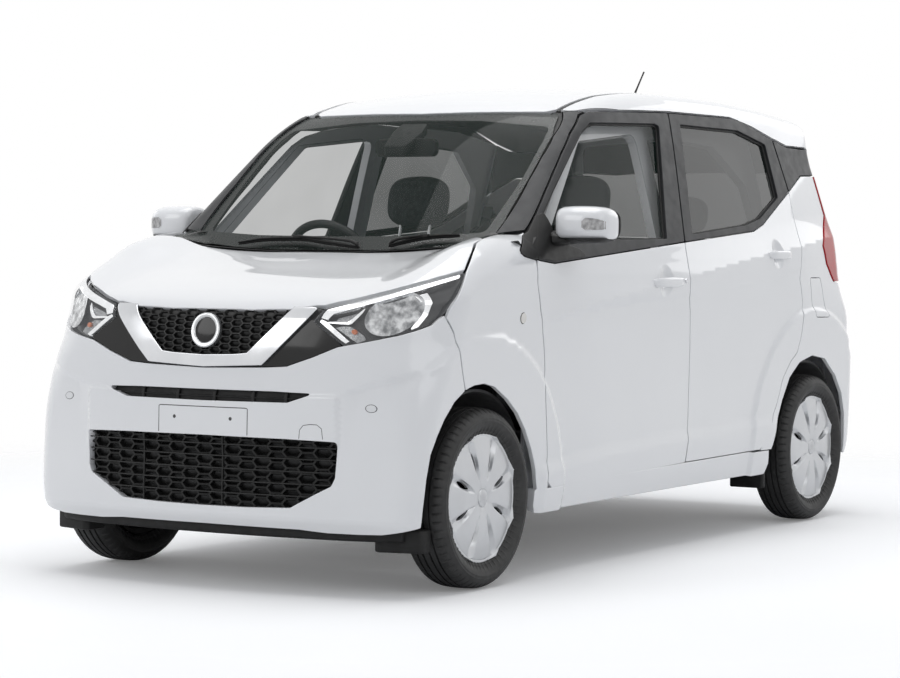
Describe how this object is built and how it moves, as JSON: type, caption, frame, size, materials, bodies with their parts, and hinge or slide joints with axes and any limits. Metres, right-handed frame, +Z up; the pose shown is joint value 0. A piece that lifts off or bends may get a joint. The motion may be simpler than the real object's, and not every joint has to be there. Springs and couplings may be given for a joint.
{
  "type": "kei car",
  "caption": "Tall five-door city car with steered front wheels, opening doors, bonnet, tailgate and fuel lid, a furnished cabin and running gear beneath.",
  "frame": {"origin": "on the floor under the middle of the car's length and width", "axes": "+X to the car's front, +Y to its left, +Z up"},
  "size_m": [3.395, 1.794, 1.7356],
  "materials": {
    "black_plastic": "grained black",
    "body_white": "gloss white paint",
    "cast": "as cast",
    "chrome_trim": "bright",
    "cover_silver": "silver paint",
    "engine_metal": "cast",
    "glass_green": "green tinted",
    "glass_tinted": "dark tinted",
    "gloss_black": "gloss black",
    "lamp_clear": "clear",
    "lamp_red": "red lens",
    "pillar_dark": "satin dark grey",
    "radiator_metal": "finned",
    "seat_fabric": "dark woven",
    "tyre": "black rubber",
    "under_steel": "black underseal",
    "wheel_leather": "soft grip"
  },
  "bodies": {
    "body": {"a_pillars": "pillar_dark", "antenna": "black_plastic", "cowl": "black_plastic", "dashboard": "black_plastic", "engine": "engine_metal", "exhaust": "under_steel", "floor_pan": "under_steel", "front_bumper": "body_white", "front_fenders": "body_white", "front_seats": "seat_fabric", "front_subframe": "under_steel", "front_wheelhouses": "black_plastic", "fuel_tank": "black_plastic", "grille_trim": "chrome_trim", "headlamps": "lamp_clear", "interior_mirror": "black_plastic", "lower_grille": "black_plastic", "radiator": "radiator_metal", "rear_axle": "under_steel", "rear_bumper": "body_white", "rear_quarters": "body_white", "rear_seat": "seat_fabric", "rear_wheelhouses": "black_plastic", "roof_panel": "body_white", "side_frames": "body_white", "steering_column": "black_plastic", "struts": "under_steel", "tail_lamps": "lamp_red", "upper_grille": "gloss_black", "windscreen": "glass_green"},
    "front_door_left": {"front_door_left": "body_white", "front_door_glass_left": "glass_green", "mirror_left": "body_white"},
    "front_door_right": {"front_door_right": "body_white", "front_door_glass_right": "glass_green", "mirror_right": "body_white"},
    "rear_door_left": {"rear_door_left": "body_white", "rear_door_glass_left": "glass_tinted"},
    "rear_door_right": {"rear_door_right": "body_white", "rear_door_glass_right": "glass_tinted"},
    "hood": {"hood": "body_white"},
    "tailgate": {"tailgate": "body_white", "tailgate_glass": "glass_tinted"},
    "fuel_lid": {"fuel_lid": "body_white"},
    "steering_wheel": {"steering_wheel": "wheel_leather"},
    "knuckle_left": {"knuckle_left": "cast"},
    "knuckle_right": {"knuckle_right": "cast"},
    "wheel_front_left": {"wheel_front_left": "cover_silver", "tyre_front_left": "tyre"},
    "wheel_front_right": {"wheel_front_right": "cover_silver", "tyre_front_right": "tyre"},
    "wheel_rear_left": {"wheel_rear_left": "cover_silver", "tyre_rear_left": "tyre"},
    "wheel_rear_right": {"wheel_rear_right": "cover_silver", "tyre_rear_right": "tyre"}
  },
  "joints": [
    {"name": "front_door_left_hinge", "type": "hinge", "parent": "body", "child": "front_door_left", "pos_m": [0.85, 0.7305, 0.75], "axis": [0, 0, 1], "range_deg": [-68, 0]},
    {"name": "front_door_right_hinge", "type": "hinge", "parent": "body", "child": "front_door_right", "pos_m": [0.85, -0.7305, 0.75], "axis": [0, 0, 1], "range_deg": [0, 68]},
    {"name": "rear_door_left_hinge", "type": "hinge", "parent": "body", "child": "rear_door_left", "pos_m": [-0.1885, 0.7305, 0.75], "axis": [0, 0, 1], "range_deg": [-80, 0]},
    {"name": "rear_door_right_hinge", "type": "hinge", "parent": "body", "child": "rear_door_right", "pos_m": [-0.1885, -0.7305, 0.75], "axis": [0, 0, 1], "range_deg": [0, 80]},
    {"name": "hood_hinge", "type": "hinge", "parent": "body", "child": "hood", "pos_m": [0.9525, 0, 0.995], "axis": [0, -1, 0], "range_deg": [0, 50]},
    {"name": "tailgate_hinge", "type": "hinge", "parent": "body", "child": "tailgate", "pos_m": [-1.396, 0, 1.57325], "axis": [0, 1, 0], "range_deg": [0, 80]},
    {"name": "fuel_lid_hinge", "type": "hinge", "parent": "body", "child": "fuel_lid", "pos_m": [-1.2275, 0.7315, 0.85], "axis": [0, 0, 1], "range_deg": [-85, 0]},
    {"name": "steer_left", "type": "hinge", "parent": "body", "child": "knuckle_left", "pos_m": [1.21, 0.635, 0.2785], "axis": [0, 0, 1], "range_deg": [-36, 36]},
    {"name": "steer_right", "type": "hinge", "parent": "body", "child": "knuckle_right", "pos_m": [1.21, -0.635, 0.2785], "axis": [0, 0, 1], "range_deg": [-36, 36]},
    {"name": "steering_wheel_turn", "type": "hinge", "parent": "body", "child": "steering_wheel", "pos_m": [0.4725, -0.33, 0.965], "axis": [-0.891, 0, 0.454], "range_deg": [-540, 540]},
    {"name": "wheel_front_left_spin", "type": "hinge", "parent": "knuckle_left", "child": "wheel_front_left", "pos_m": [1.21, 0.65, 0.2785], "axis": [0, 1, 0], "continuous": true},
    {"name": "wheel_front_right_spin", "type": "hinge", "parent": "knuckle_right", "child": "wheel_front_right", "pos_m": [1.21, -0.65, 0.2785], "axis": [0, 1, 0], "continuous": true},
    {"name": "wheel_rear_left_spin", "type": "hinge", "parent": "body", "child": "wheel_rear_left", "pos_m": [-1.285, 0.65, 0.2785], "axis": [0, 1, 0], "continuous": true},
    {"name": "wheel_rear_right_spin", "type": "hinge", "parent": "body", "child": "wheel_rear_right", "pos_m": [-1.285, -0.65, 0.2785], "axis": [0, 1, 0], "continuous": true}
  ],
  "couplings": [
    {"joint": "steer_right", "follows": "steer_left", "ratio": 1},
    {"joint": "steering_wheel_turn", "follows": "steer_left", "ratio": 15}
  ]
}
